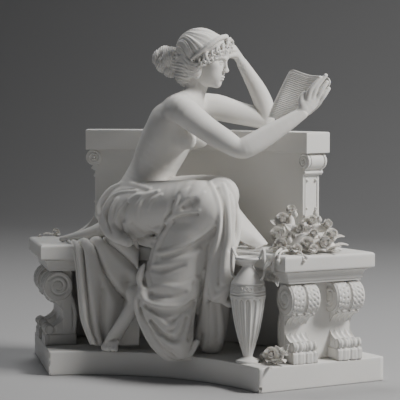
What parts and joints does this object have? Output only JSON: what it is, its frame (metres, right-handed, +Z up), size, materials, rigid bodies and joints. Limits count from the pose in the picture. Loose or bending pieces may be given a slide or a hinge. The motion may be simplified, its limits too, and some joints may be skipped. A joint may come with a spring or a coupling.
{
  "type": "bisque porcelain statue",
  "caption": "White bisque group of a draped woman reading on a curved garden bench with scroll consoles, an amphora and loose roses, on a shaped plinth.",
  "frame": {"origin": "centre of the bounding box at the plinth's underside", "axes": "+X towards the side the reader faces, +Y towards the back of the bench, +Z up"},
  "size_m": [0.4424, 0.2002, 0.3891],
  "materials": {
    "bisque": "unglazed matt, warm white"
  },
  "bodies": {
    "root": {"plinth": "bisque", "bench": "bisque", "figure": "bisque", "amphora": "bisque", "roses_on_seat": "bisque", "fallen_roses": "bisque"}
  },
  "joints": []
}
